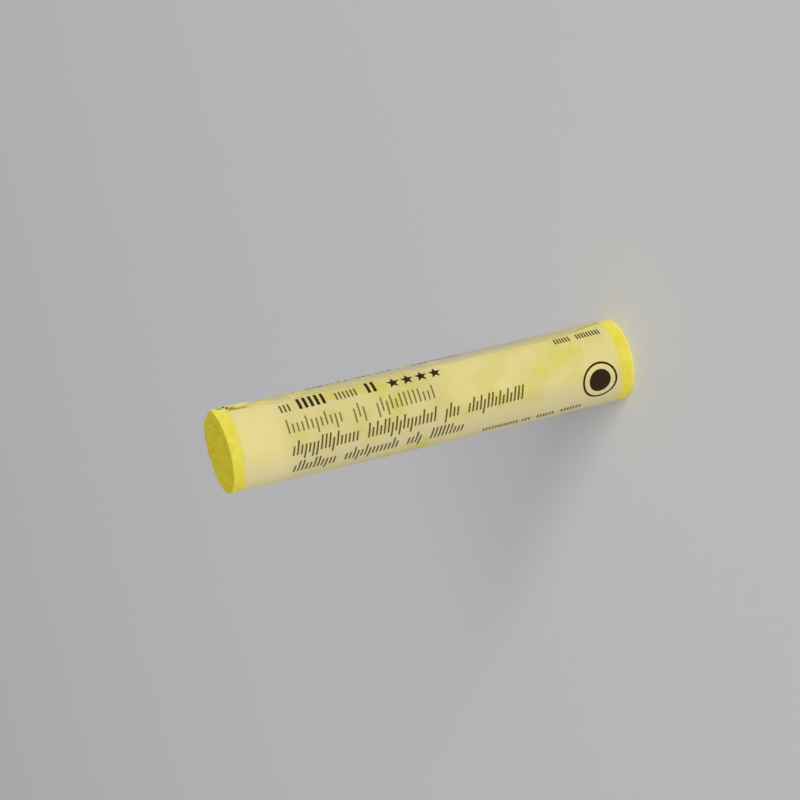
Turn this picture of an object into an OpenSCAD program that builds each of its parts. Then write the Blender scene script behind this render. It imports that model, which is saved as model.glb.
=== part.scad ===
// A soft pastel stick in its paper wrapper, standing on its lower end.
// Millimetres, +Z up along the stick. The origin is the centre of the flat lower face.
// The wrapper's free edge and the chipped rim both lie on the +X side of the stick.

/* [Stick] */
// Length of the pressed stick along its axis
stick_length = 65; // [45:0.5:90]
// Diameter of the bare stick
stick_diameter = 12.3; // [9:0.1:20]
// Radius rubbed onto the rim of the lower face
lower_rim_radius = 0.3; // [0.2:0.05:1.5]
// How far off square the upper face is cut, in degrees, with its high side at +X
upper_face_slope = 1.6; // [0.2:0.1:4]

/* [Chip] */
// Direction of the chip on the upper rim, in degrees round from +X
chip_bearing = 12; // [-180:1:180]
// Depth of the chip at the upper face
chip_depth = 0.45; // [0.1:0.05:1]
// How far the chip runs down the side
chip_length = 1.8; // [0.8:0.1:4]

/* [Wrapper] */
// Length of bare stick left above the wrapper
bare_above = 1.75; // [0.5:0.05:6]
// Length of bare stick left below the wrapper
bare_below = 2.25; // [0.8:0.05:6]
// Thickness of the wrapper paper
paper_thickness = 0.08; // [0.05:0.01:0.3]
// Width of the strip where the paper lies double
lap_width = 4; // [1:0.5:12]
// Direction of the paper's free edge, in degrees round from +X
lap_edge_bearing = -30.5; // [-180:0.5:180]

/* [Hidden] */

stick_radius = stick_diameter / 2;
wrapper_radius = stick_radius + paper_thickness;
lap_radius = wrapper_radius + paper_thickness;
wrapper_height = stick_length - bare_above - bare_below;
// The double strip, as an angle round the stick
lap_sweep = lap_width / wrapper_radius * 180 / PI;
// The slope of the chip's flat, from its depth over its run
chip_slope = atan(chip_depth / chip_length);
// Longer and wider than the stick, for solids that cut it
cutter_size = 3 * stick_diameter;
$fn = 128;

// Half of the stick's section, with a true arc at the lower rim.
module stick_section() {
    tall = stick_length + stick_diameter;
    translate([0, lower_rim_radius]) square([stick_radius, tall]);
    square([stick_radius - lower_rim_radius, tall]);
    intersection() {
        translate([stick_radius - lower_rim_radius, lower_rim_radius]) circle(r = lower_rim_radius);
        square(stick_diameter);
    }
}

// Everything above the upper face, which is cut a little off square.
module above_upper_face() {
    translate([0, 0, stick_length])
        rotate([0, -upper_face_slope, 0])
            translate([-cutter_size / 2, -cutter_size / 2, 0])
                cube(cutter_size);
}

// The flake lost from the upper rim: a flat that leans in towards the top.
module rim_chip() {
    rotate([0, 0, chip_bearing])
        translate([stick_radius - chip_depth, 0, stick_length])
            rotate([0, -chip_slope, 0])
                translate([0, -cutter_size / 2, -cutter_size / 2])
                    cube(cutter_size);
}

// One pressed rod of pigment, chalk and binder, solid right through.
module pastel_stick() {
    color([0.89, 0.83, 0.33])
        difference() {
            rotate_extrude() stick_section();
            above_upper_face();
            rim_chip();
        }
}

// A ring in plan, from the stick's surface out to a radius.
module ring_out_to(radius) {
    difference() {
        circle(r = radius);
        circle(r = stick_radius);
    }
}

// The wedge of the plan in which the paper lies double, on from its free edge.
module lap_wedge() {
    reach = 2 * lap_radius;
    finish = lap_edge_bearing + lap_sweep;
    polygon([
        [0, 0],
        [reach * cos(lap_edge_bearing), reach * sin(lap_edge_bearing)],
        [reach * cos(finish), reach * sin(finish)]
    ]);
}

// One strip of paper wound once round the stick, with its free edge glued over its start.
module paper_wrapper() {
    color([0.89, 0.84, 0.56])
        translate([0, 0, bare_below])
            linear_extrude(wrapper_height) {
                ring_out_to(wrapper_radius);
                intersection() {
                    ring_out_to(lap_radius);
                    lap_wedge();
                }
            }
}

pastel_stick();
paper_wrapper();
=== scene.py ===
# %% [markdown]
# # A soft pastel stick in its paper wrapper
# A soft pastel is a rod of pigment and chalk held together by very little gum, so it rubs off on all that
# touches it. A strip of coated paper is wound once round the rod and glued to itself. It keeps fingers
# clean, carries the printing, and leaves a band of bare pastel at each end.
# These are the only two real pieces, and nothing on them moves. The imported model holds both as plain
# solids of the right size, `pastel_stick` and `paper_wrapper`. This script replaces each one, in the same
# place, with a mesh and a material that have the detail of the real thing.

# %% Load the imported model
import math
import random

import bmesh
import bpy
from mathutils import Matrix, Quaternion, Vector


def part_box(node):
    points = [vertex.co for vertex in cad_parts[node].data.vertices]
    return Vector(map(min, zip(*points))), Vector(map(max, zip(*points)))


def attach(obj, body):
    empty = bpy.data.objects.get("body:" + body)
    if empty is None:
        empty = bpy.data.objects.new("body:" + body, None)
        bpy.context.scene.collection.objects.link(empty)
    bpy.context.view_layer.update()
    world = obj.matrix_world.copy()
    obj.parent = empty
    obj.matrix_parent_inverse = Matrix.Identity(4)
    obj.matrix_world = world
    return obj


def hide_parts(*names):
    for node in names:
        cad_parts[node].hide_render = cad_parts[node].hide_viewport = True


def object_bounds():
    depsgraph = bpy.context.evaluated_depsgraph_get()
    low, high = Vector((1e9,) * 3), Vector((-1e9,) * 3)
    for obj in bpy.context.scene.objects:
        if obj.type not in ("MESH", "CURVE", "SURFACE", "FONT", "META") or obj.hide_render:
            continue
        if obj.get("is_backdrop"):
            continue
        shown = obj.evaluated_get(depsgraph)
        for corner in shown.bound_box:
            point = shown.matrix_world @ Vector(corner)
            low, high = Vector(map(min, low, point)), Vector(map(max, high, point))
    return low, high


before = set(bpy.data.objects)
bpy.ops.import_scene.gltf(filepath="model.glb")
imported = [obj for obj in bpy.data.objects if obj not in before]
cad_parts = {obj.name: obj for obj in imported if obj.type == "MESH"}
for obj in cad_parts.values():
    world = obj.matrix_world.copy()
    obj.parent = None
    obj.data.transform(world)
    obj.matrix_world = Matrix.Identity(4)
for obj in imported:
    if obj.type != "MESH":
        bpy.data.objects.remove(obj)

MM = 0.001
cad_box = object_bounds()
print("nodes:", sorted(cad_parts), "height in mm:", round(cad_box[1].z / MM, 2))

# %% [markdown]
# ## Sizes
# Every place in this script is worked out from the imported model. Its stick gives the radius, and the
# planes of its two cut faces can be read off its mesh: the upper face is the flat that lies highest, and
# the chip on the rim is the only face that leans outwards and up. The wrapper gives the paper's
# thickness, and the points on its outer layer say where the paper lies double. That way the detailed
# meshes are cut and wound exactly as the solids are.

# %% Read the sizes off the model
stick_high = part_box("pastel_stick")[1]
paper_low, paper_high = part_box("paper_wrapper")
STICK_RADIUS = stick_high.y
PAPER_THICKNESS = paper_high.y - stick_high.y
PAPER_HEIGHT = paper_high.z - paper_low.z

cad_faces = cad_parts["pastel_stick"].data.polygons
top_flat = max(cad_faces, key=lambda face: face.center.z)
chip_flat = next(face for face in cad_faces if 0.1 < face.normal.z < 0.9)
top_plane = (top_flat.center.copy(), top_flat.normal.copy())
chip_plane = (chip_flat.center.copy(), chip_flat.normal.copy())
slope = math.degrees(math.acos(top_plane[1].z))
print(f"stick radius {STICK_RADIUS / MM:.2f} mm, upper face {slope:.1f} degrees off square")

# %% Find where the paper lies double
def at_bearing(degrees, radius, height):
    """A point round the stick's axis: 0 degrees is the front, -Y, and 90 degrees is +X."""
    turn = math.radians(degrees)
    return Vector((radius * math.sin(turn), -radius * math.cos(turn), height))


def bearing_of(point):
    """How far round the axis a point lies, in degrees from the front."""
    return math.degrees(math.atan2(point.x, -point.y))


between_layers = STICK_RADIUS + 1.5 * PAPER_THICKNESS
lap_points = [vertex.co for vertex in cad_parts["paper_wrapper"].data.vertices
              if math.hypot(vertex.co.x, vertex.co.y) > between_layers]
FREE_EDGE_BEARING = min(bearing_of(point) for point in lap_points)
HIDDEN_EDGE_BEARING = max(bearing_of(point) for point in lap_points)
print(f"paper {PAPER_THICKNESS / MM:.2f} mm thick, double from {FREE_EDGE_BEARING:.1f} to "
      f"{HIDDEN_EDGE_BEARING:.1f} degrees")

# %% [markdown]
# ## The camera
# A round stick laid on its side would roll, so it stands on its flat end. The camera looks at it from a
# little above with a long lens, and is rolled on its side, so that the stick lies across the view with
# its chipped end to the left. Tilting first and rolling second, each as a quaternion, keeps the two moves
# apart and easy to change.

# %% Place the camera
LENS = 108
CAMERA_DISTANCE = 360.1 * MM
LOOKING_DOWN = 19.15
ROLL = -103.2
AIM = Vector((1.44, 1.04, 35.63)) * MM

tilt = Quaternion((1, 0, 0), math.radians(90 - LOOKING_DOWN))
roll = Quaternion((0, 0, 1), math.radians(ROLL))
bpy.ops.object.camera_add(location=AIM + tilt @ Vector((0, 0, CAMERA_DISTANCE)))
camera = bpy.context.object
camera.name = "portrait_camera"
camera.rotation_mode = "QUATERNION"
camera.rotation_quaternion = tilt @ roll
camera.data.lens = LENS
bpy.context.scene.camera = camera
print("camera at", [round(x / MM, 1) for x in camera.location])

# %% [markdown]
# ## Graphs and recipes
# A procedural material is a graph of small nodes. Written out one by one the nodes hide the idea, so a
# `Graph` wraps one node tree and offers arithmetic and soft thresholds. A `Recipe` is the graph of one
# material, and adds the steps that all the finishes here share: blended colours, clouds of a given size,
# and places that stray. Patterns are laid out in millimetres, so a cloud of size 3 is about 3 mm across
# on the real thing.

# %% A graph of nodes
class Graph:
    """One node tree, built up step by step."""

    def __init__(self, tree):
        self.tree = tree

    def add(self, kind, inputs, **settings):
        """A new node, each of whose inputs is linked to an output or set to a value."""
        node = self.tree.nodes.new("ShaderNode" + kind)
        for setting, value in settings.items():
            setattr(node, setting, value)
        for socket, value in inputs.items():
            if isinstance(value, bpy.types.NodeSocket):
                self.tree.links.new(value, node.inputs[socket])
            else:
                node.inputs[socket].default_value = value
        return node

    def maths(self, operation, *values):
        return self.add("Math", dict(enumerate(values)), operation=operation).outputs[0]

    def product(self, *values):
        result = values[0]
        for value in values[1:]:
            result = self.maths("MULTIPLY", result, value)
        return result

    def most(self, *values):
        result = values[0]
        for value in values[1:]:
            result = self.maths("MAXIMUM", result, value)
        return result

    def ease(self, value, start, end):
        """Rises smoothly from 0 at start to 1 at end, which may lie below start."""
        inputs = {"Value": value, "From Min": start, "From Max": end}
        return self.add("MapRange", inputs, interpolation_type="SMOOTHSTEP").outputs[0]

    def band(self, value, middle, half_width, softness):
        """1 where the value is within half_width of the middle, and 0 beyond the soft edge."""
        distance = self.maths("ABSOLUTE", self.maths("SUBTRACT", value, middle))
        return self.ease(distance, half_width + softness / 2, half_width - softness / 2)


print("one millimetre is", MM, "of a Blender unit")

# %% A recipe for a material
def colour(red, green, blue):
    """A screen colour from 0 to 255, as the linear numbers that a shader takes."""
    parts = [part / 255 for part in (red, green, blue)]
    linear = [part / 12.92 if part <= 0.04045 else ((part + 0.055) / 1.055) ** 2.4 for part in parts]
    return (*linear, 1.0)


class Recipe(Graph):
    """A material whose graph ends in a Principled shader."""

    def __init__(self, name, **shader_values):
        self.material = bpy.data.materials.new(name)
        self.material.use_nodes = True
        super().__init__(self.material.node_tree)
        self.shader = self.tree.nodes["Principled BSDF"]
        for socket, value in shader_values.items():
            self.shader.inputs[socket.replace("_", " ")].default_value = value

    def parts(self, vector):
        """The X, Y and Z of a vector."""
        return self.add("SeparateXYZ", {0: vector}).outputs

    def scaled(self, place, scale):
        """The place times a scale for each axis, so a scale under 1 draws a pattern out."""
        return self.add("Mapping", {"Vector": place, "Scale": scale}).outputs[0]

    def blend(self, amount, first, second, mode="MIX"):
        inputs = {0: amount, 6: first, 7: second}
        return self.add("Mix", inputs, data_type="RGBA", blend_type=mode).outputs[2]

    def clouds(self, place, size, detail=2.0, roughness=0.5):
        inputs = {"Vector": place, "Scale": 1 / size, "Detail": detail, "Roughness": roughness}
        return self.add("TexNoise", inputs).outputs["Fac"]

    def spot(self, place, centre, reach, softness=0.6):
        """1 inside a soft round spot."""
        distance = self.add("VectorMath", {0: place, 1: centre}, operation="DISTANCE").outputs["Value"]
        return self.ease(distance, reach, reach * (1 - softness))

    def stray(self, place, cloud_place, scale, reach, detail=2.0, roughness=0.5, middle=0.5):
        """The place, tossed about by clouds: each way, or only one way if middle is 0."""
        inputs = {"Vector": cloud_place, "Scale": scale, "Detail": detail, "Roughness": roughness}
        tossed = self.add("TexNoise", inputs).outputs["Color"]
        throw = self.add("VectorMath", {0: tossed, 1: (middle,) * 3}, operation="SUBTRACT").outputs[0]
        moved = self.add("VectorMath", {0: throw, 1: reach, 2: place}, operation="MULTIPLY_ADD")
        return moved.outputs[0]

    def bump(self, height, depth_mm, normal=None):
        inputs = {"Height": height, "Distance": depth_mm * MM, "Strength": 1.0}
        if normal is not None:
            inputs["Normal"] = normal
        return self.add("Bump", inputs).outputs["Normal"]

    def connect(self, output, socket):
        self.tree.links.new(output, self.shader.inputs[socket])


print("middle grey in linear numbers:", [round(part, 3) for part in colour(128, 128, 128)])

# %% [markdown]
# ## The floor and the light
# The floor is a wide plain disc in pale grey. The light is that of a small light tent: bright all round
# near the horizon and dim overhead, so that the upright side of the stick is well lit and its upper face
# falls into half shade. One big soft lamp in front adds the modelling round the barrel. The lamp and the
# world together bring a surface that faces the lamp to full level, where a colour renders as it is
# written.
# The world shows the camera, and anything glossy, a plain grey like the floor's, and keeps its own
# brighter glow for lighting alone.

# %% Lay the floor
FLOOR_RADIUS = 3.0

bpy.ops.object.select_all(action="DESELECT")
bpy.ops.mesh.primitive_circle_add(vertices=128, radius=FLOOR_RADIUS, fill_type="NGON")
floor = bpy.context.object
floor.name = "studio_floor"
floor_finish = Recipe("pale_floor", Roughness=0.8, Base_Color=colour(246, 246, 248))
floor.data.materials.append(floor_finish.material)
floor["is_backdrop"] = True
print("floor", FLOOR_RADIUS * 2, "m across")

# %% Set the world's glow
HORIZON_GLOW = 1.86

world = bpy.data.worlds.new("light_tent")
world.use_nodes = True
bpy.context.scene.world = world
tent = Graph(world.node_tree)
direction = tent.add("TexCoord", {}).outputs["Generated"]
height = tent.add("SeparateXYZ", {0: direction}).outputs["Z"]
dimming = tent.add("Math", {0: 1.0, 1: height}, operation="SUBTRACT", use_clamp=True).outputs[0]
strength = tent.product(tent.maths("POWER", dimming, 2.0), HORIZON_GLOW)
glow = tent.tree.nodes["Background"]
glow.inputs["Color"].default_value = (1, 1, 1, 1)
tent.tree.links.new(strength, glow.inputs["Strength"])
print("world glow at the horizon:", HORIZON_GLOW)

# %% Show the camera and glossy surfaces a plain backdrop
BACKDROP_GREY = colour(163, 163, 165)

backdrop = tent.add("Background", {"Color": BACKDROP_GREY})
ray = tent.add("LightPath", {}).outputs
seen = tent.most(ray["Is Camera Ray"], ray["Is Glossy Ray"], ray["Is Transmission Ray"])
chosen = tent.add("MixShader", {0: seen, 1: glow.outputs[0], 2: backdrop.outputs[0]})
tent.tree.links.new(chosen.outputs[0], tent.tree.nodes["World Output"].inputs["Surface"])
bpy.context.scene.view_settings.view_transform = "Standard"
print("the world has", len(tent.tree.nodes), "nodes")

# %% Hang the key lamp
KEY_BEARING = 14
KEY_ELEVATION = 30
KEY_DISTANCE = 2.5
KEY_SIZE = 1.2
KEY_IRRADIANCE = 1.40

ground_distance = KEY_DISTANCE * math.cos(math.radians(KEY_ELEVATION))
key_height = KEY_DISTANCE * math.sin(math.radians(KEY_ELEVATION))
key_place = at_bearing(KEY_BEARING, ground_distance, key_height)
bpy.ops.object.light_add(type="AREA", location=key_place)
key = bpy.context.object
key.name = "key_softbox"
key.rotation_euler = key_place.to_track_quat("Z", "Y").to_euler()
key.data.size = KEY_SIZE
key.data.energy = KEY_IRRADIANCE * math.pi * KEY_DISTANCE**2
print("key lamp of", round(key.data.energy, 1), "W")

# %% [markdown]
# ## Modelling helpers
# Blender's operators act on whatever is selected, so each step below first selects faces, edges or
# points by where they lie and which way they face, and then calls one operator. The last helper weighs
# the points of a mesh, and a Displace modifier then presses or swells just those points.

# %% Select by place
def begin(piece):
    """Makes the piece the only selected object."""
    bpy.ops.object.select_all(action="DESELECT")
    piece.select_set(True)
    bpy.context.view_layer.objects.active = piece


def pick_faces(piece, wanted):
    """In edit mode, selects only the faces whose centre and normal are wanted."""
    bpy.ops.mesh.select_all(action="DESELECT")
    mesh = bmesh.from_edit_mesh(piece.data)
    for face in mesh.faces:
        if wanted(face.calc_center_median(), face.normal):
            face.select_set(True)
    bmesh.update_edit_mesh(piece.data)


def pick_edges(piece, wanted):
    """In edit mode, selects only the edges whose middle and two face normals are wanted."""
    bpy.ops.mesh.select_all(action="DESELECT")
    mesh = bmesh.from_edit_mesh(piece.data)
    for edge in mesh.edges:
        middle = (edge.verts[0].co + edge.verts[1].co) / 2
        normals = [face.normal for face in edge.link_faces]
        if len(normals) == 2 and wanted(middle, *normals):
            edge.select_set(True)
    bmesh.update_edit_mesh(piece.data)


def slice_faces(piece, wanted, places, direction):
    """Cuts the wanted faces along parallel planes, one through each place."""
    for place in places:
        pick_faces(piece, wanted)
        bpy.ops.mesh.bisect(plane_co=place, plane_no=direction)


def steps(start, end, size):
    """Evenly spaced numbers from start to end, about size apart."""
    count = round(abs(end - start) / size)
    return [start + (end - start) * i / count for i in range(count + 1)]


print("evenly spaced:", steps(0, 1, 0.25))

# %% Weigh and displace
def smooth(value, start, end):
    """Rises smoothly from 0 at start to 1 at end."""
    share = min(max((value - start) / (end - start), 0.0), 1.0)
    return share * share * (3 - 2 * share)


def weigh(piece, name, weight_at):
    """Makes a vertex group from a function of a point's place, leaving out the lightest points."""
    group = piece.vertex_groups.new(name=name)
    for vertex in piece.data.vertices:
        weight = weight_at(vertex.co)
        if weight > 0.001:
            group.add([vertex.index], weight, "REPLACE")


def displace(piece, strength, group="", cloud_size=None, direction="NORMAL", middle=0.5):
    """Pushes points out by up to strength, evenly or as clouds of a given size."""
    push = piece.modifiers.new("push", "DISPLACE")
    push.strength = strength
    push.vertex_group = group
    push.direction = direction
    push.texture_coords = "LOCAL"
    push.mid_level = 0.0
    if cloud_size:
        push.mid_level = middle
        push.texture = bpy.data.textures.new(f"clouds_{cloud_size / MM:.2f}", "CLOUDS")
        push.texture.noise_scale = cloud_size
        push.texture.noise_depth = 2
    bpy.ops.object.modifier_apply(modifier=push.name)


print("half way up a smooth step:", smooth(0.5, 0, 1))

# %% [markdown]
# ## The pressed stick
# A soft pastel is damp paste pushed through a round die, cut to length and dried. The cut leaves a flat
# face that is never quite square, with a crisp rim that soon crumbles, while the end that was used
# first is rubbed round. It could be one cylinder with a bump map, but the rims are what the eye reads,
# so their true shape is cut into the mesh: a cylinder is sliced along the two planes that were read
# off the model, its rims are bevelled, and only the two bare ends are divided finely. Under the paper
# nothing is ever seen, so the mesh stays coarse there.

# %% Cut the stick to shape
UPPER_RIM = 0.05 * MM
LOWER_RIM = 0.3 * MM
AROUND = 192
SPARE = 2 * MM
RIM_ANGLE = 0.15
UPPER_END_LENGTH = 3 * MM

bpy.ops.object.select_all(action="DESELECT")
blank_height = stick_high.z + SPARE
bpy.ops.mesh.primitive_cylinder_add(vertices=AROUND, radius=STICK_RADIUS, depth=blank_height,
                                    location=(0, 0, blank_height / 2))
stick = bpy.context.object
stick.name = "pressed_pastel"
bpy.ops.object.transform_apply(location=True)
bpy.ops.object.mode_set(mode="EDIT")
for place, normal in (top_plane, chip_plane):
    bpy.ops.mesh.select_all(action="SELECT")
    bpy.ops.mesh.bisect(plane_co=place, plane_no=normal, use_fill=True, clear_outer=True)

bpy.ops.mesh.select_mode(type="EDGE")
upper_end = stick_high.z - UPPER_END_LENGTH
pick_edges(stick, lambda middle, one, other: middle.z > upper_end and one.angle(other) > RIM_ANGLE)
bpy.ops.mesh.bevel(offset=UPPER_RIM, segments=2, affect="EDGES")
pick_edges(stick, lambda middle, one, other: middle.z < LOWER_RIM and one.angle(other) > RIM_ANGLE)
bpy.ops.mesh.bevel(offset=LOWER_RIM, segments=5, affect="EDGES")
bpy.ops.mesh.select_mode(type="FACE")
print("faces after cutting and bevelling:", len(bmesh.from_edit_mesh(stick.data).faces))

# %% Divide the bare sides finely
CELL = 0.22 * MM
COARSE_CELL = 6 * MM
UNDER_PAPER = 1.2 * MM
CLEAR_OF_RIM = 0.1 * MM


def is_side(centre, normal):
    return abs(normal.z) < 0.5


down_from_top = steps(UPPER_RIM + CLEAR_OF_RIM, stick_high.z - paper_high.z + UNDER_PAPER, CELL)
slice_faces(stick, is_side, [top_plane[0] - top_plane[1] * depth for depth in down_from_top], top_plane[1])
up_from_base = steps(LOWER_RIM + CLEAR_OF_RIM, paper_low.z + UNDER_PAPER, CELL)
under_paper = steps(paper_low.z + 2 * UNDER_PAPER, paper_high.z - 2 * UNDER_PAPER, COARSE_CELL)
slice_faces(stick, is_side, [Vector((0, 0, z)) for z in up_from_base + under_paper], Vector((0, 0, 1)))
print("cuts round the side:", len(down_from_top) + len(up_from_base) + len(under_paper))

# %% Divide the upper face and the chip
SAME_WAY = 0.999
CHIP_REACH = 3 * MM


def is_upper_face(centre, normal):
    return normal.dot(top_plane[1]) > SAME_WAY and centre.z > upper_end


def is_chip(centre, normal):
    return normal.dot(chip_plane[1]) > SAME_WAY


across_face = steps(-STICK_RADIUS, STICK_RADIUS, CELL)[1:-1]
for axis in (Vector((1, 0, 0)), Vector((0, 1, 0))):
    slice_faces(stick, is_upper_face, [axis * place for place in across_face], axis)
along_chip = Vector((0, 0, 1)).cross(chip_plane[1]).normalized()
middle_of_chip = along_chip.dot(chip_plane[0])
across_chip = [along_chip * (middle_of_chip + offset) for offset in steps(-CHIP_REACH, CHIP_REACH, CELL)]
slice_faces(stick, is_chip, across_chip, along_chip)
bpy.ops.object.mode_set(mode="OBJECT")

finer = stick.modifiers.new("finer", "SUBSURF")
finer.subdivision_type = "SIMPLE"
finer.levels = 1
finer.render_levels = 1
bpy.ops.object.modifier_apply(modifier=finer.name)
print("faces in the stick:", len(stick.data.polygons))

# %% [markdown]
# ### Wear on the stick
# Pressed chalk is never smooth: it swells and shrinks a little, its skin is grainy, its rim crumbles,
# and small air bubbles open as pits where it was cut. The knife that cut it has also dragged a low burr
# out over the rim beside the chip, and nicked the rim on its far side. Each kind of wear is one group of
# weighted points and its pushes, along the surface normal or, for the burr, straight out. The base is
# left flat, because the stick stands on it.
# Damp paste also dries a hair out of straight. That bow is one function of height, so the wrapper and
# the crumbs on it can follow it later.

# %% Say where the stick is worn
# x, y, reach
PITS = [
    (3.84, -1.69, 0.24), (3.5, -2.0, 0.2), (2.69, -3.26, 0.16), (1.84, 1.21, 0.16), (-3.2, -0.73, 0.17),
    (-3.34, -3.7, 0.16), (-0.6, -4.6, 0.14), (0.4, 3.3, 0.16), (-1.4, 2.2, 0.13), (4.6, 0.6, 0.14),
]
PIT_FLOOR = 0.05 * MM
RIM_REACH = 0.55 * MM
RIM_CORE = 0.1 * MM
FADE_OUTSIDE = 0.1 * MM
FADE_INSIDE = 0.3 * MM
STANDING_FACE = 0.02 * MM


def on_top(x, y):
    """The point of the upper face's plane over x, y."""
    place, normal = top_plane
    return Vector((x, y, place.z - (normal.x * (x - place.x) + normal.y * (y - place.y)) / normal.z))


def on_bare_ends(point):
    """1 on the two bare bands, fading out under the paper's edges and at the standing face."""
    above_base = smooth(point.z, STANDING_FACE, LOWER_RIM)
    below_paper = 1 - smooth(point.z, paper_low.z - FADE_OUTSIDE, paper_low.z + FADE_INSIDE)
    above_paper = smooth(point.z, paper_high.z - FADE_INSIDE, paper_high.z + FADE_OUTSIDE)
    return above_base * below_paper + above_paper


def on_upper_rim(point):
    depth = (top_plane[0] - point).dot(top_plane[1])
    inwards = STICK_RADIUS - math.hypot(point.x, point.y)
    return smooth(math.hypot(depth, inwards), RIM_REACH, RIM_CORE)


def in_pit(point):
    if point.z < upper_end:
        return 0.0
    return max(smooth((point - on_top(x * MM, y * MM)).length, reach * MM, PIT_FLOOR)
               for x, y, reach in PITS)


print(len(PITS), "pits in the upper face")

# %% Place the nick, the burr and the bow
NICK_BEARING = 190
NICK_REACH = 0.9 * MM
BURR_BEARING = 84
BURR_REACH = 3.6 * MM
TUCK_START = 0.2 * MM
TUCK_END = 0.6 * MM
BOW = 0.12 * MM

nick = at_bearing(NICK_BEARING, STICK_RADIUS, 0)
nick = on_top(nick.x, nick.y)
burr = at_bearing(BURR_BEARING, STICK_RADIUS, stick_high.z)


def in_nick(point):
    return smooth((point - nick).length, NICK_REACH, 0)


def on_burr(point):
    return smooth((point - burr).length, BURR_REACH, 0.2 * BURR_REACH)


def well_covered(point):
    """1 well under the paper, where the stick is drawn in a little to stay clear of it."""
    inside_lower_edge = smooth(point.z, paper_low.z + TUCK_START, paper_low.z + TUCK_END)
    return inside_lower_edge * smooth(point.z, paper_high.z - TUCK_START, paper_high.z - TUCK_END)


def bowing(point):
    """1 half way up the stick and 0 at its two ends."""
    return 1 - (2 * point.z / stick_high.z - 1) ** 2


print("the nick is", round((nick - burr).length / MM, 1), "mm from the burr")

# %% Press in the wear
TUCK = 0.06 * MM
# push, size of the clouds, the level at which they push nothing
SKIN = [(0.06, 3.2, 0.2), (0.035, 0.7, 0.5), (0.03, 0.25, 0.5)]
RIM_CRUMBLING = 0.06 * MM
RIM_CRUMB = 0.6 * MM
PIT_DEPTH = 0.16 * MM
NICK_DEPTH = 0.15 * MM
BURR_PUSH = 0.2 * MM
STICK_CREASE = 35

weigh(stick, "bare", on_bare_ends)
weigh(stick, "covered", well_covered)
weigh(stick, "upper_rim", on_upper_rim)
weigh(stick, "pits", in_pit)
weigh(stick, "nick", in_nick)
weigh(stick, "burr", on_burr)
weigh(stick, "bow", bowing)

begin(stick)
displace(stick, -TUCK, "covered")
for push, size, middle in SKIN:
    displace(stick, push * MM, "bare", cloud_size=size * MM, middle=middle)
displace(stick, -RIM_CRUMBLING, "upper_rim", cloud_size=RIM_CRUMB)
displace(stick, -PIT_DEPTH, "pits")
displace(stick, -NICK_DEPTH, "nick")
displace(stick, BURR_PUSH, "burr", direction="X")
displace(stick, -BOW, "bow", direction="X")
bpy.ops.object.shade_smooth_by_angle(angle=math.radians(STICK_CREASE))
print("lowest point of the stick in mm:", round(min(v.co.z for v in stick.data.vertices) / MM, 4))

# %% [markdown]
# ### The finish of pressed pigment
# Pastel is as matt as a surface can be: grains of pigment stand up in all directions and scatter light
# back. A rough diffuse shader with a little sheen for the loose dust gives that. The colour is one
# strong yellow with paler dusty clouds and small dark pores and grains. Each pit is darkened with
# painted shade, and the lower rim is rubbed pale, partly as a painted highlight.
# The cut face has no pale skin, so it is deeper in colour and shows the smear of the knife. A few marks
# of other pigments, ochre and olive, have rubbed off on the upper rim from the sticks it was kept with.
# The bump has two sizes, for lumps and grain.

# %% Mix the pigment
SKIN_YELLOW = colour(236, 224, 98)
DEEP_YELLOW = colour(229, 217, 78)
CUT_YELLOW = colour(215, 200, 34)
CUT_SHADE = colour(206, 190, 24)

pigment = Recipe("soft_pigment", Roughness=0.95, Specular_IOR_Level=0.12, Diffuse_Roughness=0.7,
                 Sheen_Weight=0.02, Sheen_Roughness=0.6)
coordinates = pigment.add("TexCoord", {}).outputs
in_mm = pigment.scaled(coordinates["Object"], (1 / MM,) * 3)
height_mm = pigment.parts(in_mm)["Z"]
facing_up = pigment.ease(pigment.parts(coordinates["Normal"])["Z"], 0.6, 0.9)
at_upper_end = pigment.ease(height_mm, upper_end / MM, upper_end / MM + 1)

lumps = pigment.clouds(in_mm, 1.8, detail=3)
grain = pigment.clouds(in_mm, 0.28, detail=3, roughness=0.7)
skin = pigment.blend(pigment.ease(lumps, 0.35, 0.7), DEEP_YELLOW, SKIN_YELLOW)
knife_drawn = pigment.scaled(in_mm, (1.6, 0.35, 1.0))
smear = pigment.clouds(knife_drawn, 1.2, detail=4, roughness=0.6)
cut = pigment.blend(pigment.ease(smear, 0.35, 0.7), CUT_SHADE, CUT_YELLOW)
is_cut = pigment.product(facing_up, at_upper_end)
base = pigment.blend(is_cut, skin, cut)
print("pigment blends", len(pigment.tree.nodes), "nodes so far")

# %% Add pores, painted shade in the pits, dust and a pale rim
PORE_AND_PIT_SHADE = colour(126, 113, 4)
DUST_YELLOW = colour(240, 231, 128)
RUBBED_RIM_AND_HIGHLIGHT = colour(240, 236, 160)

pores = pigment.ease(pigment.clouds(in_mm, 0.45, detail=1), 0.70, 0.78)
pore_strength = pigment.maths("MULTIPLY_ADD", is_cut, 0.6, 0.2)
base = pigment.blend(pigment.product(pores, pore_strength), base, PORE_AND_PIT_SHADE)
dust = pigment.ease(pigment.clouds(in_mm, 0.9, detail=4, roughness=0.7), 0.56, 0.72)
base = pigment.blend(pigment.product(dust, 0.25), base, DUST_YELLOW)
# The pale lower rim is partly rubbed wear and partly a painted highlight.
rubbed_and_highlit = pigment.product(pigment.ease(height_mm, 0.6, 0.1), pigment.ease(lumps, 0.25, 0.5), 0.6)
base = pigment.blend(rubbed_and_highlit, base, RUBBED_RIM_AND_HIGHLIGHT)
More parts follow.
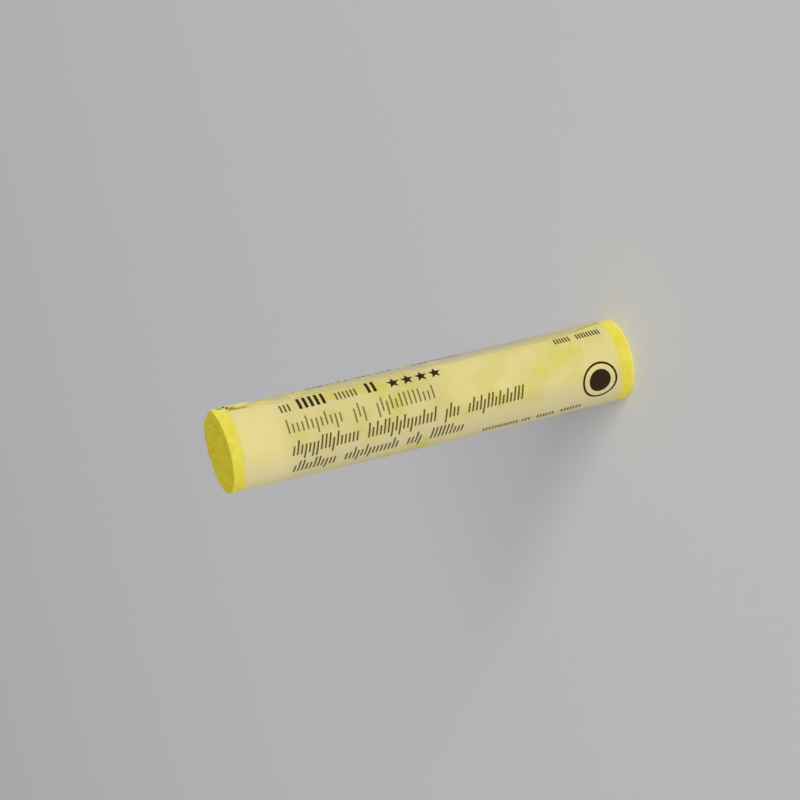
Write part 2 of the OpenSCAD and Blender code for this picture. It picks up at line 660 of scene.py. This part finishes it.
# Each pit is darkened with painted shade.
for x, y, reach in PITS:
    pit_shade = pigment.spot(in_mm, on_top(x * MM, y * MM) / MM, reach * 1.3)
    base = pigment.blend(pigment.product(pit_shade, 0.95), base, PORE_AND_PIT_SHADE)
print("pigment blends", len(pigment.tree.nodes), "nodes so far")

# %% Rub on the stains, and bump the surface
OCHRE = colour(206, 168, 14)
OLIVE = colour(96, 84, 16)
GRAIN_SHADE = (0.55, 0.5, 0.3, 1)
LUMP_BUMP = 0.05
GRAIN_BUMP = 0.028
# bearing, distance in from the side, height, reach, tint, amount
STAINS = [
    (181.0, 0.7, 65.0, 1.5, OCHRE, 0.55),
    (150.0, 0.0, 64.95, 0.7, OLIVE, 0.6),
    (75.5, 0.0, 63.9, 0.6, OLIVE, 1.0),
    (81.0, 0.0, 63.9, 0.6, OLIVE, 1.0),
]
for bearing, inwards, height, reach, tint, amount in STAINS:
    centre = at_bearing(bearing, STICK_RADIUS - inwards * MM, height * MM) / MM
    stain = pigment.product(pigment.spot(in_mm, centre, reach), pigment.ease(grain, 0.3, 0.6), amount)
    base = pigment.blend(stain, base, tint)
in_shade = pigment.product(pigment.ease(grain, 0.35, 0.7), 0.12)
pigment.connect(pigment.blend(in_shade, base, GRAIN_SHADE, mode="MULTIPLY"), "Base Color")
pigment.connect(pigment.bump(grain, GRAIN_BUMP, pigment.bump(lumps, LUMP_BUMP)), "Normal")
stick.data.materials.append(pigment.material)
print("pigment has", len(pigment.tree.nodes), "nodes")

# %% [markdown]
# ## The wound paper
# The wrapper is a flat strip of coated paper, printed, trimmed and then rolled round the stick, with its
# last few millimetres glued over its start. A tube could be textured to look like it, but the lap, its
# raised edge and the print all come for free if the piece is made the way the real one is: a flat grid
# of the strip's true size is cockled and given its thickness while flat, and a Simple Deform modifier
# then rolls it up. Its UV map is that of the flat sheet, so it can be printed like one.

# %% Lay out the flat strip
SHEET_RADIUS = STICK_RADIUS + PAPER_THICKNESS / 2
ONE_TURN = 2 * math.pi * SHEET_RADIUS
LAP = SHEET_RADIUS * math.radians(HIDDEN_EDGE_BEARING - FREE_EDGE_BEARING)
free_edge_arc = SHEET_RADIUS * math.radians(FREE_EDGE_BEARING)
hidden_edge = free_edge_arc + LAP
free_edge = free_edge_arc - ONE_TURN
sheet_length = hidden_edge - free_edge

bpy.ops.object.select_all(action="DESELECT")
bpy.ops.mesh.primitive_grid_add(x_subdivisions=144, y_subdivisions=136, size=1,
                                rotation=(math.radians(90), 0, 0))
paper = bpy.context.object
paper.name = "wound_paper"
paper.data.uv_layers[0].name = "flat_paper"
bpy.ops.object.transform_apply(rotation=True)
bpy.ops.object.mode_set(mode="EDIT")
bpy.ops.mesh.select_all(action="SELECT")
bpy.ops.transform.resize(value=(sheet_length, 1, PAPER_HEIGHT), center_override=(0, 0, 0))
middle_of_sheet = Vector(((hidden_edge + free_edge) / 2, 0, (paper_low.z + paper_high.z) / 2))
bpy.ops.transform.translate(value=middle_of_sheet)
bpy.ops.object.mode_set(mode="OBJECT")
print(f"flat strip {sheet_length / MM:.2f} by {PAPER_HEIGHT / MM:.2f} mm")

# %% [markdown]
# ### Rolling it
# While the strip is flat its front faces -Y, so "outwards" is one plain direction. The glued end is
# raised by the thickness of the layer that it will cover, climbing over the hidden edge. The trimmed
# ends wander a little, the free edge lifts here and there, as glued paper does, and handling has worn
# both of its corners back. The roll itself is a bend of as many radians as the strip is long, measured in
# its own radius. Last of all the roll takes the bow of the stick inside it.

# %% Say which parts of the strip move
LAP_CLIMB = 1.2 * MM
LIFTED = 1.6 * MM
CORNER_HEIGHT = 8 * MM
TRIMMED = 1.5 * MM


def near_edge(point, reach):
    """Rises to 1 at the free edge from nothing at this reach from it."""
    return smooth(point.x, free_edge + reach, free_edge)


weigh(paper, "over_lap", lambda point: smooth(point.x, free_edge + LAP + LAP_CLIMB, free_edge + LAP))
weigh(paper, "free_edge", lambda point: near_edge(point, LIFTED))
weigh(paper, "upper_corner", lambda point: near_edge(point, 2.0 * MM)
      * smooth(point.z, paper_high.z - CORNER_HEIGHT, paper_high.z - 1 * MM))
weigh(paper, "lower_corner", lambda point: near_edge(point, 3.0 * MM)
      * smooth(point.z, paper_low.z + CORNER_HEIGHT, paper_low.z))
weigh(paper, "trimmed_ends", lambda point: max(smooth(point.z, paper_low.z + TRIMMED, paper_low.z),
                                               smooth(point.z, paper_high.z - TRIMMED, paper_high.z)))
print("groups on the paper:", [group.name for group in paper.vertex_groups])

# %% Raise, cockle and trim the strip
COCKLE = 0.06 * MM
FREE_LIFT = 0.025 * MM
FREE_WANDER = 0.5 * MM
UPPER_CORNER_WORN = 0.6 * MM
LOWER_CORNER_WORN = 1.4 * MM
TRIM_WANDER = 0.35 * MM

begin(paper)
displace(paper, COCKLE, cloud_size=6 * MM, direction="Y", middle=0.1)
displace(paper, -PAPER_THICKNESS, "over_lap", direction="Y")
displace(paper, -FREE_LIFT, "free_edge", cloud_size=3 * MM, direction="Y", middle=0.4)
displace(paper, FREE_WANDER, "free_edge", cloud_size=7 * MM, direction="X", middle=0.8)
displace(paper, UPPER_CORNER_WORN, "upper_corner", direction="X")
displace(paper, LOWER_CORNER_WORN, "lower_corner", direction="X")
displace(paper, TRIM_WANDER, "trimmed_ends", cloud_size=6 * MM, direction="Z")
print("the free edge wanders by", round(FREE_WANDER / MM, 2), "mm at most")

# %% Give it its thickness and roll it up
PAPER_CREASE = 40

thickness = paper.modifiers.new("thickness", "SOLIDIFY")
thickness.thickness = PAPER_THICKNESS
thickness.offset = 0
bpy.ops.object.modifier_apply(modifier=thickness.name)
widths = [vertex.co.x for vertex in paper.data.vertices]
winding = paper.modifiers.new("winding", "SIMPLE_DEFORM")
winding.deform_method = "BEND"
winding.deform_axis = "Z"
winding.angle = (max(widths) - min(widths)) / SHEET_RADIUS
bpy.ops.object.modifier_apply(modifier=winding.name)
bpy.ops.object.mode_set(mode="EDIT")
bpy.ops.mesh.select_all(action="SELECT")
bpy.ops.transform.translate(value=(0, -SHEET_RADIUS, 0))
bpy.ops.mesh.normals_make_consistent(inside=False)
bpy.ops.object.mode_set(mode="OBJECT")
weigh(paper, "bow", bowing)
displace(paper, -BOW, "bow", direction="X")
bpy.ops.object.shade_smooth_by_angle(angle=math.radians(PAPER_CREASE))
radii = [math.hypot(vertex.co.x, vertex.co.y) / MM for vertex in paper.data.vertices]
print(f"rolled paper from radius {min(radii):.2f} to {max(radii):.2f} mm, {len(paper.data.polygons)} faces")

# %% [markdown]
# ### Paper and the pastel behind it
# Thin coated paper lets the yellow show through where it lies tight against the stick, and looks paler
# where it stands off. So the ground colour is soft clouds between a creamy and a yellower tone, paler
# towards the upper end and from the front round to -X.
# The sheet's UV map is turned into millimetres first: `round_mm` runs round the stick from its front,
# and `down_mm` runs down from the upper trimmed end. The glued end of the sheet lies a whole turn back
# from the start that it covers, so `lap_mm` adds that turn, and gives both layers the same numbers there.

# %% Lay out the sheet in millimetres
sheet = Recipe("printed_paper", Roughness=0.6, Specular_IOR_Level=0.11, Diffuse_Roughness=0.3,
               Coat_Weight=0.02, Coat_Roughness=0.4)
uv = sheet.add("UVMap", {}, uv_map="flat_paper").outputs[0]
flat = sheet.add("Mapping", {
    "Vector": uv,
    "Location": (free_edge / MM, PAPER_HEIGHT / MM, 0),
    "Scale": (sheet_length / MM, -PAPER_HEIGHT / MM, 1),
}).outputs[0]
round_mm, down_mm, _ = sheet.parts(flat)
lap_mm = sheet.maths("ADD", round_mm, ONE_TURN / MM)
touching = sheet.clouds(flat, 5.0, detail=3)
mottle = sheet.clouds(flat, 1.1, detail=3)
print(f"the sheet runs from {free_edge / MM:.1f} to {hidden_edge / MM:.1f} mm round the stick")

# %% Tint the ground
CREAM = colour(228, 215, 148)
YELLOWED = colour(222, 210, 132)
PALE_END = colour(231, 216, 150)
PALE_SIDE = colour(226, 214, 163)

ground = sheet.blend(sheet.ease(touching, 0.35, 0.65), CREAM, YELLOWED)
ground = sheet.blend(sheet.product(sheet.ease(down_mm, 9, 4), 0.7), ground, PALE_END)
wandering = sheet.maths("MULTIPLY_ADD", touching, 5.0, sheet.maths("SUBTRACT", round_mm, 2.5))
ground = sheet.blend(sheet.product(sheet.ease(wandering, -1.6, -4.4), 0.85), ground, PALE_SIDE)
print("paper ground uses", len(sheet.tree.nodes), "nodes")

# %% [markdown]
# ### Stains, the lap and painted shade on one side
# Pigment has soaked into the paper in places. Each stain is a soft spot, but the place that it is
# measured at strays with a noise, so no stain comes out round. Along the lap the paper lies double and
# less shows through, so it is greyer there, and yellower again near its lower end; its tones are also
# darker with painted shade, most of all in patches down its middle. The -X side and the back carry a
# very little painted shade.

# %% Soak in the stains
SOAKED = colour(219, 209, 100)
# round, down, reach
SOAKED_SPOTS = [
    (4.9, 15.0, 1.8), (5.4, 19.2, 2.6), (4.6, 22.5, 3.4), (3.6, 27.0, 2.4), (3.2, 53.7, 3.4),
    (2.4, 51.0, 3.0), (1.0, 47.8, 2.2), (-1.8, 40.8, 2.4), (-1.6, 44.2, 2.8), (-7.8, 27.5, 3.6),
    (-8.0, 22.6, 2.0), (1.2, 24.5, 2.0), (-13.8, 44.0, 5.0), (-16.5, 48.5, 4.0), (-18.4, 18.0, 4.6),
    (-20.5, 22.5, 3.6), (-21.2, 34.0, 3.8), (-23.4, 52.0, 4.4), (-25.0, 10.5, 3.4), (-14.6, 10.0, 3.0),
]
SOAK_STRAY = 5

drifting = sheet.stray(flat, flat, 0.5, (SOAK_STRAY, SOAK_STRAY, 0), detail=3)
soaks_in = sheet.ease(mottle, 0.15, 0.5)
for around, down, reach in SOAKED_SPOTS:
    soaked = sheet.product(sheet.spot(drifting, (around, down, 0), reach, 0.95), soaks_in, 0.85)
    ground = sheet.blend(soaked, ground, SOAKED)
print(len(SOAKED_SPOTS), "soaked spots")

# %% Grey and shade the lap, and paint shade on one side
# The first two tones are greyer double paper darkened with painted shade, and the last is painted shade
# alone.
DOUBLE_PAPER_AND_SHADE = colour(205, 194, 152)
GREYED_PAPER_AND_SHADE = colour(184, 179, 156)
STAINED_LAP = colour(200, 192, 137)
SIDE_SHADE = colour(245, 245, 247)

lap_end = (free_edge + LAP) / MM
clear_of_edge = sheet.ease(lap_mm, 6.0, 7.2)
double_and_shaded = sheet.product(sheet.ease(round_mm, lap_end + 0.1, lap_end - 0.7), clear_of_edge, 0.95)
drawn_out = sheet.scaled(flat, (1.0, 0.3, 1.0))
rubbing = sheet.ease(sheet.clouds(drawn_out, 1.6, detail=4, roughness=0.65), 0.25, 0.5)
# Down the lap's middle the paper is darker still, partly rubbed grey and partly painted shade.
greyed_and_shaded = sheet.product(sheet.band(lap_mm, 8.6, 0.8, 1.6), sheet.maths("MULTIPLY_ADD", rubbing, 0.5, 0.5))
double_tone_and_shade = sheet.blend(greyed_and_shaded, DOUBLE_PAPER_AND_SHADE, GREYED_PAPER_AND_SHADE)
double_tone_and_shade = sheet.blend(sheet.ease(down_mm, 44, 54), double_tone_and_shade, STAINED_LAP)
ground = sheet.blend(double_and_shaded, ground, double_tone_and_shade)

# Painted shade, a very little darker, on the -X side and the back over most of the height.
shaded_side = sheet.most(sheet.ease(round_mm, -19, -9), sheet.ease(round_mm, lap_end + 3, lap_end))
upper_side_shade = sheet.product(sheet.ease(down_mm, 5.5, 8.5), sheet.ease(down_mm, 35, 30), shaded_side)
lower_side_shade = sheet.product(sheet.ease(down_mm, 30, 35), sheet.ease(round_mm, -0.5, -3.0), shaded_side, 0.8)
ground = sheet.blend(sheet.most(upper_side_shade, lower_side_shade), ground, SIDE_SHADE, mode="MULTIPLY")
print("paper ground uses", len(sheet.tree.nodes), "nodes")

# %% [markdown]
# ### The printing
# The wrapper's front carries lines of small printing and a round mark. Here they are plain ruled strokes,
# four plain stars and a dot in a ring, which say nothing. Each line is a hatch of strokes, one `pitch`
# apart, cut into blocks: a block is given by the stroke that it starts on and how many strokes it has, so
# no stroke is ever cut in two. In the larger lines a dice throw for each stroke lets some reach higher
# and some lower, so that they don't read as a fence. Before anything is drawn, the sheet's coordinates
# are shaken a very little, which roughens the edges as ink does on paper.

# %% Shake the sheet's coordinates
INK_WANDER = 0.05
PRINT_SKEW = 0.012

shaken = sheet.stray(flat, flat, 6.0, (INK_WANDER, INK_WANDER, 0), middle=0.0)
shaken_round, along_line, _ = sheet.parts(shaken)
up_print = sheet.maths("SUBTRACT", shaken_round, sheet.product(along_line, PRINT_SKEW))
print("printing runs", PRINT_SKEW, "mm out of square for each mm along")

# %% Give the ink its edge
INK_EDGE = 0.05
BLOCK_EDGE = 0.02


def inside(distance):
    """1 where a signed distance from an outline is below 0, with the soft edge of ink."""
    return sheet.ease(distance, INK_EDGE / 2, -INK_EDGE / 2)


print("an edge of ink is", INK_EDGE, "mm soft")

# %% Rule the lines of strokes
LINE_SEED = 50
# A throw above the first makes a stroke taller, and one below the second makes it deeper
REACHES_UP = 0.60
REACHES_DOWN = 0.14
THROW_EDGE = 0.01
# middle, stroke height, extra height, start, pitch, stroke width, slant, ink, blocks of strokes
PRINTED_LINES = [
    (4.45, 1.5, 0.0, 7.2, 0.62, 0.29, 0.0, 0.92, [(0, 3)]),
    (4.75, 2.2, 0.0, 10.0, 0.92, 0.50, 0.0, 1.00, [(0, 5)]),
    (4.45, 1.5, 0.0, 15.9, 0.60, 0.28, 0.0, 0.90, [(0, 6)]),
    (4.70, 2.2, 0.0, 20.8, 0.92, 0.48, 0.0, 1.00, [(0, 2)]),
    (1.00, 1.4, 0.75, 7.2, 0.74, 0.26, 0.0, 0.80, [(0, 12), (14, 3), (19, 13)]),
    (-2.35, 1.4, 0.75, 7.4, 0.62, 0.29, 0.25, 0.92, [(0, 17), (19, 18), (39, 4), (45, 15)]),
    (-5.50, 1.3, 0.70, 7.4, 0.62, 0.29, 0.25, 0.92, [(0, 11), (13, 14), (29, 4), (35, 9)]),
    (4.75, 1.2, 0.0, 51.9, 0.46, 0.25, 0.0, 0.98, [(0, 6), (8, 9)]),
    (-7.55, 0.9, 0.0, 38.0, 0.50, 0.26, 0.0, 0.97, [(0, 12), (13, 3), (18, 6), (26, 7)]),
    (9.45 - ONE_TURN / MM, 2.2, 0.0, 12.8, 1.00, 0.66, 0.0, 0.97, [(0, 7), (8, 6), (17, 8)]),
]


def ruled_line(middle, height, extra, start, pitch, width, slant, ink, blocks):
    """The ink of one line of strokes."""
    above_middle = sheet.maths("SUBTRACT", up_print, middle)
    leaning = sheet.maths("SUBTRACT", along_line, sheet.product(above_middle, slant))
    within_pitch = sheet.maths("WRAP", leaning, start + pitch, start)
    strokes = sheet.band(within_pitch, start + pitch / 2, width / 2, INK_EDGE)
    top = height / 2
    foot = -height / 2
    if extra:
        number = sheet.maths("FLOOR", sheet.maths("DIVIDE", sheet.maths("SUBTRACT", leaning, start), pitch))
        own_number = sheet.maths("ADD", number, LINE_SEED * middle)
        throw = sheet.add("TexWhiteNoise", {"W": own_number}, noise_dimensions="1D").outputs["Value"]
        taller = sheet.ease(throw, REACHES_UP, REACHES_UP + THROW_EDGE)
        deeper = sheet.ease(throw, REACHES_DOWN, REACHES_DOWN - THROW_EDGE)
        top = sheet.maths("MULTIPLY_ADD", taller, extra, top)
        foot = sheet.maths("MULTIPLY_ADD", deeper, -extra, foot)
    below_top = inside(sheet.maths("SUBTRACT", above_middle, top))
    above_foot = inside(sheet.maths("SUBTRACT", foot, above_middle))
    in_height = sheet.product(below_top, above_foot)
    in_blocks = []
    for first, count in blocks:
        half = count * pitch / 2
        in_blocks.append(sheet.band(leaning, start + first * pitch + half, half, BLOCK_EDGE))
    return sheet.product(strokes, in_height, sheet.most(*in_blocks), ink)


lines = sheet.most(*[ruled_line(*line) for line in PRINTED_LINES])
print(len(PRINTED_LINES), "ruled lines")

# %% Draw the stars
STARS = 4
FIRST_STAR = 25.25
STAR_PITCH = 2.25
STAR_MIDDLE = 4.45
STAR_TIP = 1.08
STAR_WAIST = 0.46


def length(across, along):
    """How far a place on the sheet lies from a centre, given its two offsets."""
    squares = [sheet.product(offset, offset) for offset in (across, along)]
    return sheet.maths("SQRT", sheet.maths("ADD", *squares))


# A star is a wedge between tip and waist, folded round ten times
cell_start = FIRST_STAR - STAR_PITCH / 2
cell = sheet.maths("WRAP", along_line, cell_start + STAR_PITCH, cell_start)
star_x = sheet.maths("SUBTRACT", cell, FIRST_STAR)
star_y = sheet.maths("SUBTRACT", up_print, STAR_MIDDLE)
from_centre = length(star_x, star_y)
half_arm = math.pi / 5
round_star = sheet.maths("ARCTAN2", star_x, star_y)
folded = sheet.maths("ABSOLUTE", sheet.maths("WRAP", round_star, half_arm, -half_arm))
tip = Vector((STAR_TIP, 0))
waist = Vector((STAR_WAIST * math.cos(half_arm), STAR_WAIST * math.sin(half_arm)))
edge = (waist - tip).normalized()
outward = Vector((edge.y, -edge.x))
along_arm = sheet.product(from_centre, sheet.maths("COSINE", folded), outward.x)
off_arm = sheet.product(from_centre, sheet.maths("SINE", folded), outward.y)
beyond_edge = sheet.maths("SUBTRACT", sheet.maths("ADD", along_arm, off_arm), tip.dot(outward))
half_row = STARS * STAR_PITCH / 2
in_row = sheet.band(along_line, cell_start + half_row, half_row, BLOCK_EDGE)
stars = sheet.product(inside(beyond_edge), in_row)
print(STARS, "stars,", 2 * STAR_TIP, "mm across")

# %% Draw the dot in a ring
DOT_UP = -3.3
DOT_ALONG = 57.3
RING_RADIUS = 2.75
RING_WIDTH = 0.34
DOT_RADIUS = 1.80

from_dot = length(sheet.maths("SUBTRACT", up_print, DOT_UP), sheet.maths("SUBTRACT", along_line, DOT_ALONG))
ring = sheet.band(from_dot, RING_RADIUS, RING_WIDTH / 2, INK_EDGE)
dot = inside(sheet.maths("SUBTRACT", from_dot, DOT_RADIUS))
printing = sheet.most(lines, stars, ring, dot)
print("the ring is", 2 * RING_RADIUS, "mm across")

# %% [markdown]
# ### Ink, dust and fibre
# The ink is a warm black that soaks in unevenly. Yellow dust has settled on the paper, most of it along
# the lap: caked behind the free edge near the open end, thumbed on in ragged smears, and dragged down it
# in streaks. A tan line of dirt lies under the free edge and on its two worn corners; under the edge and
# at the upper corner it is also painted shadow. The surface is smooth coated stock, so the fibres are
# only a faint bump.

# %% Print in ink
INK = colour(39, 23, 2)
THIN_INK = colour(84, 68, 0)
WORN_COVER = 0.91
WHOLE_COVER = 0.99

whole = sheet.ease(sheet.clouds(flat, 0.22, detail=3, roughness=0.7), 0.74, 0.52)
cover = sheet.maths("MULTIPLY_ADD", whole, WHOLE_COVER - WORN_COVER, WORN_COVER)
ink = sheet.blend(sheet.ease(printing, 0.86, 1.0), THIN_INK, INK)
inked = sheet.blend(sheet.product(printing, cover), ground, ink)
print("with its ink the paper has", len(sheet.tree.nodes), "nodes")

# %% Settle the dust
PIGMENT_DUST = colour(224, 215, 108)
DUST_STRAY = (3, 4, 0)
# lap, down, reach
LAP_SMEARS = [
    (7.0, 5.6, 0.9), (7.3, 10.2, 1.0), (7.9, 11.6, 0.8), (8.2, 23.6, 0.7), (8.7, 28.2, 0.7),
    (7.8, 32.9, 1.1), (9.6, 17.0, 0.9), (7.6, 60.0, 1.2),
]

loose = sheet.ease(sheet.clouds(flat, 0.35, detail=4, roughness=0.75), 0.62, 0.74)
dusted = sheet.blend(sheet.product(loose, 0.30), inked, PIGMENT_DUST)
on_lap = sheet.add("CombineXYZ", {0: lap_mm, 1: down_mm}).outputs[0]
ragged = sheet.stray(on_lap, flat, 1.1, DUST_STRAY, detail=4, roughness=0.6)
ragged_lap, ragged_down, _ = sheet.parts(ragged)
behind_edge = sheet.product(sheet.band(ragged_lap, 8.6, 1.2, 0.4), sheet.ease(ragged_down, 4.4, 3.4))
caked = sheet.product(behind_edge, sheet.ease(mottle, 0.2, 0.4))
smears = [sheet.spot(ragged, (around, down, 0), reach, 0.7) for around, down, reach in LAP_SMEARS]
thumbed = sheet.product(sheet.most(*smears), sheet.ease(mottle, 0.25, 0.5), 0.8)
near_ends = sheet.most(sheet.ease(down_mm, 34, 12), sheet.product(sheet.ease(down_mm, 46, 56), 0.7))
streaks = sheet.ease(sheet.clouds(drawn_out, 0.8, detail=5, roughness=0.7), 0.40, 0.66)
dragged = sheet.product(sheet.band(lap_mm, 8.2, 1.6, 1.6), near_ends, streaks, 0.75)
low_trim = sheet.ease(down_mm, PAPER_HEIGHT / MM - 0.6, PAPER_HEIGHT / MM)
on_trim = sheet.product(sheet.most(sheet.ease(down_mm, 0.6, 0.0), low_trim), 0.6)
dusted = sheet.blend(sheet.most(caked, thumbed, dragged, on_trim), dusted, PIGMENT_DUST)
print(len(LAP_SMEARS), "smears on the lap")

# %% Gather dirt and painted shadow along the free edge
SEAM_DIRT_AND_SHADOW = colour(168, 136, 60)

worn_back = sheet.product(sheet.ease(down_mm, CORNER_HEIGHT / MM, 1.0), UPPER_CORNER_WORN / MM)
edge_line = sheet.maths("ADD", worn_back, free_edge_arc / MM)
# Under the free edge and at its upper corner the tan line is dirt and painted shadow.
under_edge = sheet.band(sheet.maths("SUBTRACT", round_mm, edge_line), -0.10, 0.14, 0.25)
dirt_and_shadow_under = sheet.product(under_edge, sheet.ease(down_mm, 5.0, 1.5), 0.6)
dirt_and_shadow_high = sheet.product(sheet.band(lap_mm, 6.6, 0.25, 0.3), sheet.band(down_mm, 2.0, 1.2, 1.4), 0.8)
dirt_low = sheet.product(sheet.band(lap_mm, 6.55, 0.12, 0.2), sheet.ease(down_mm, 55.0, 58.5), 0.7)
finished = sheet.blend(sheet.most(dirt_and_shadow_under, dirt_and_shadow_high, dirt_low), dusted, SEAM_DIRT_AND_SHADOW)
sheet.connect(finished, "Base Color")
print("the free edge lies", round(free_edge_arc / MM, 2), "mm round from the front")

# %% Raise the fibres
FIBRE_BUMP = 0.006
MOTTLE_BUMP = 0.03

fibres = sheet.clouds(sheet.scaled(flat, (1.0, 0.4, 1.0)), 0.16, detail=3, roughness=0.6)
sheet.connect(sheet.bump(mottle, MOTTLE_BUMP, sheet.bump(fibres, FIBRE_BUMP)), "Normal")
paper.data.materials.append(sheet.material)
print("printed paper has", len(sheet.tree.nodes), "nodes")

# %% [markdown]
# ## Crumbs caught on the lap
# Pastel crumbles, and the step of the lap near the open end has caught a line of crumbs that are rubbed
# fast to the paper, with one ochre lump and two dark grains among them. They stand up from the surface,
# so they are geometry: one small sphere is made lumpy, flattened and turned for each crumb, all of them
# from the same seeded dice, and the whole line is joined to one piece.

# %% Mix the crumbs' finishes
CRUMB_GRAIN = 0.3
CRUMB_BUMP = 0.05


def crumb_finish(name, dark, light):
    """A matt, grainy finish for crumbs of one colour."""
    recipe = Recipe(name, Roughness=0.95, Specular_IOR_Level=0.2, Diffuse_Roughness=0.7)
    object_place = recipe.add("TexCoord", {}).outputs["Object"]
    grains = recipe.clouds(recipe.scaled(object_place, (1 / MM,) * 3), CRUMB_GRAIN, detail=3, roughness=0.7)
    recipe.connect(recipe.blend(recipe.ease(grains, 0.3, 0.7), dark, light), "Base Color")
    recipe.connect(recipe.bump(grains, CRUMB_BUMP), "Normal")
    return recipe.material


yellow_crumb = crumb_finish("crumb_yellow", colour(214, 204, 92), colour(236, 229, 140))
ochre_crumb = crumb_finish("crumb_ochre", colour(140, 110, 6), colour(200, 170, 34))
dark_crumb = crumb_finish("crumb_dark", colour(24, 15, 2), colour(62, 46, 12))
print("crumbs come in", [finish.name for finish in (yellow_crumb, ochre_crumb, dark_crumb)])

# %% Model the crumbs along the lap
LAP_RADIUS = STICK_RADIUS + 2 * PAPER_THICKNESS
LUMPINESS = 0.22
LUMP_SIZE = 0.35 * MM
GRAININESS = 0.05 * MM
GRAIN_SIZE = 0.12 * MM
# how many, lowest and highest, nearest and furthest bearing, width of the largest
YELLOW_CRUMBS = [
    (13, (60.9, 62.5), (70, 85), 0.44),
    (12, (59.3, 61.2), (73, 86), 0.34),
    (7, (57.0, 58.3), (63, 70), 0.28),
    (5, (34, 54), (80, 88), 0.20),
]
# bearing, height, length, width, lift, finish
OTHER_CRUMBS = [
    (67.5, 62.3, 0.46, 0.38, 0.26, ochre_crumb),
    (72, 62.85, 0.20, 0.24, 0.20, dark_crumb),
    (81, 63.15, 0.22, 0.20, 0.13, dark_crumb),
]
dice = random.Random(12)


def add_crumb(bearing, height, length, width, lift, finish):
    """One flattened, knobbly lump stuck on the surface."""
    bpy.ops.object.select_all(action="DESELECT")
    bpy.ops.mesh.primitive_ico_sphere_add(subdivisions=4, radius=1)
    crumb = bpy.context.object
    crumb.scale = (width * MM, lift * MM, length * MM)
    crumb.rotation_euler = (0, 0, math.radians(bearing))
    crumb.location = at_bearing(bearing, LAP_RADIUS, height * MM)
    bpy.ops.object.transform_apply(location=True, rotation=True, scale=True)
    displace(crumb, LUMPINESS * min(length, width, lift * 2) * 2 * MM, cloud_size=LUMP_SIZE)
    displace(crumb, GRAININESS, cloud_size=GRAIN_SIZE)
    bpy.ops.object.shade_smooth()
    crumb.data.materials.append(finish)
    return crumb


crumbs = []
for count, (lowest, highest), (near, far), largest in YELLOW_CRUMBS:
    for _ in range(count):
        size = dice.uniform(0.45, 1.0) * largest
        bearing = dice.uniform(near, far)
        height = dice.uniform(lowest, highest)
        crumbs.append(add_crumb(bearing, height, size * 1.5, size, size * 0.32, yellow_crumb))
crumbs += [add_crumb(*other) for other in OTHER_CRUMBS]
print(len(crumbs), "crumbs")

# %% Join the crumbs to one piece
bpy.ops.object.select_all(action="DESELECT")
for crumb in crumbs:
    crumb.select_set(True)
bpy.context.view_layer.objects.active = crumbs[0]
bpy.ops.object.join()
crumb_line = bpy.context.object
crumb_line.name = "pigment_crumbs"
bpy.ops.object.mode_set(mode="EDIT")
bpy.ops.mesh.select_all(action="SELECT")
bpy.ops.mesh.normals_make_consistent(inside=False)
bpy.ops.object.mode_set(mode="OBJECT")
weigh(crumb_line, "bow", bowing)
displace(crumb_line, -BOW, "bow", direction="X")
print("faces in the crumbs:", len(crumb_line.data.polygons))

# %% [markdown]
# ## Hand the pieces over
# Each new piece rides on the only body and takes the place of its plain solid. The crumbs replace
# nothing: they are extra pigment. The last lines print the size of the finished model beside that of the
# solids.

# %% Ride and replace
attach(stick, "root")
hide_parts("pastel_stick")
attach(paper, "root")
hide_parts("paper_wrapper")
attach(crumb_line, "root")
for piece in (stick, paper, crumb_line):
    print(piece.name, len(piece.data.polygons), "faces")

# %% Print the sizes of the finished model
visual_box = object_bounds()
for label, (low, high) in (("cad", cad_box), ("visual", visual_box)):
    print(label, "size in mm:", [round((b - a) / MM, 2) for a, b in zip(low, high)])
